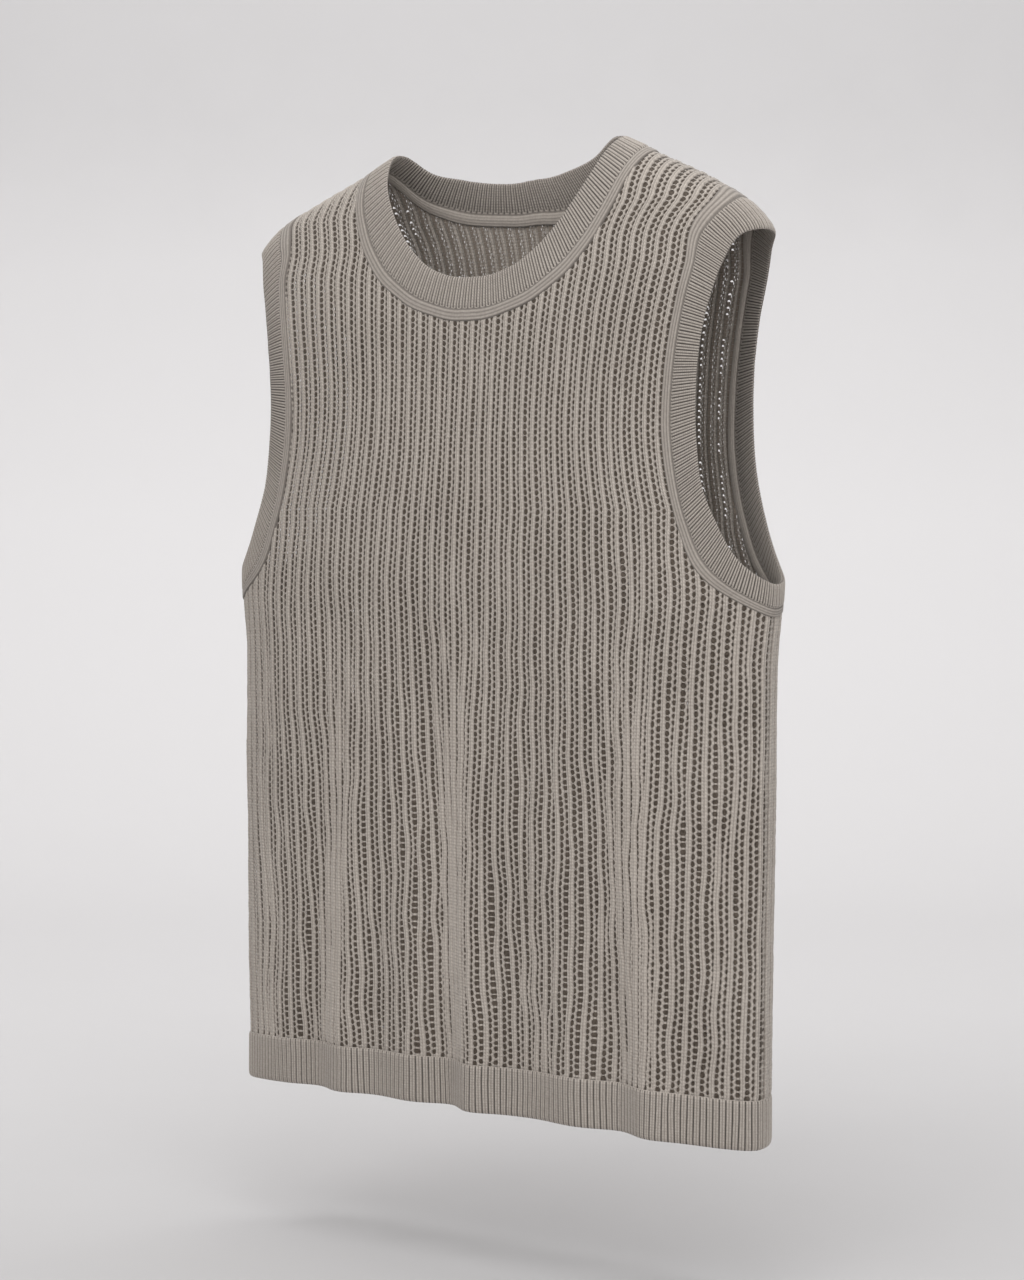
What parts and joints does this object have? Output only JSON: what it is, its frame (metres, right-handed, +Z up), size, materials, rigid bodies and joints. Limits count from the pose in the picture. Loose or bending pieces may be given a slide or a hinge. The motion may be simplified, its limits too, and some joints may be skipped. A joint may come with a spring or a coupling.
{
  "type": "sweater vest",
  "caption": "Sleeveless open-knit sweater vest, shown filled out as worn, with ribbed crew neckband, armhole bands and hem",
  "frame": {"origin": "midway between the neck ends of the two shoulder seams, where the garment is held", "axes": "+Z up, the front faces -Y, +X towards the wearer's left"},
  "size_m": [0.4326, 0.1088, 0.6396],
  "materials": {
    "open_knit": "matte cotton yarn",
    "rib_knit": "matte cotton yarn"
  },
  "bodies": {
    "root": {"front_panel": "open_knit", "back_panel": "open_knit", "front_hem": "rib_knit", "back_hem": "rib_knit", "neckband": "rib_knit", "armband_left": "rib_knit", "armband_right": "rib_knit"}
  },
  "joints": []
}
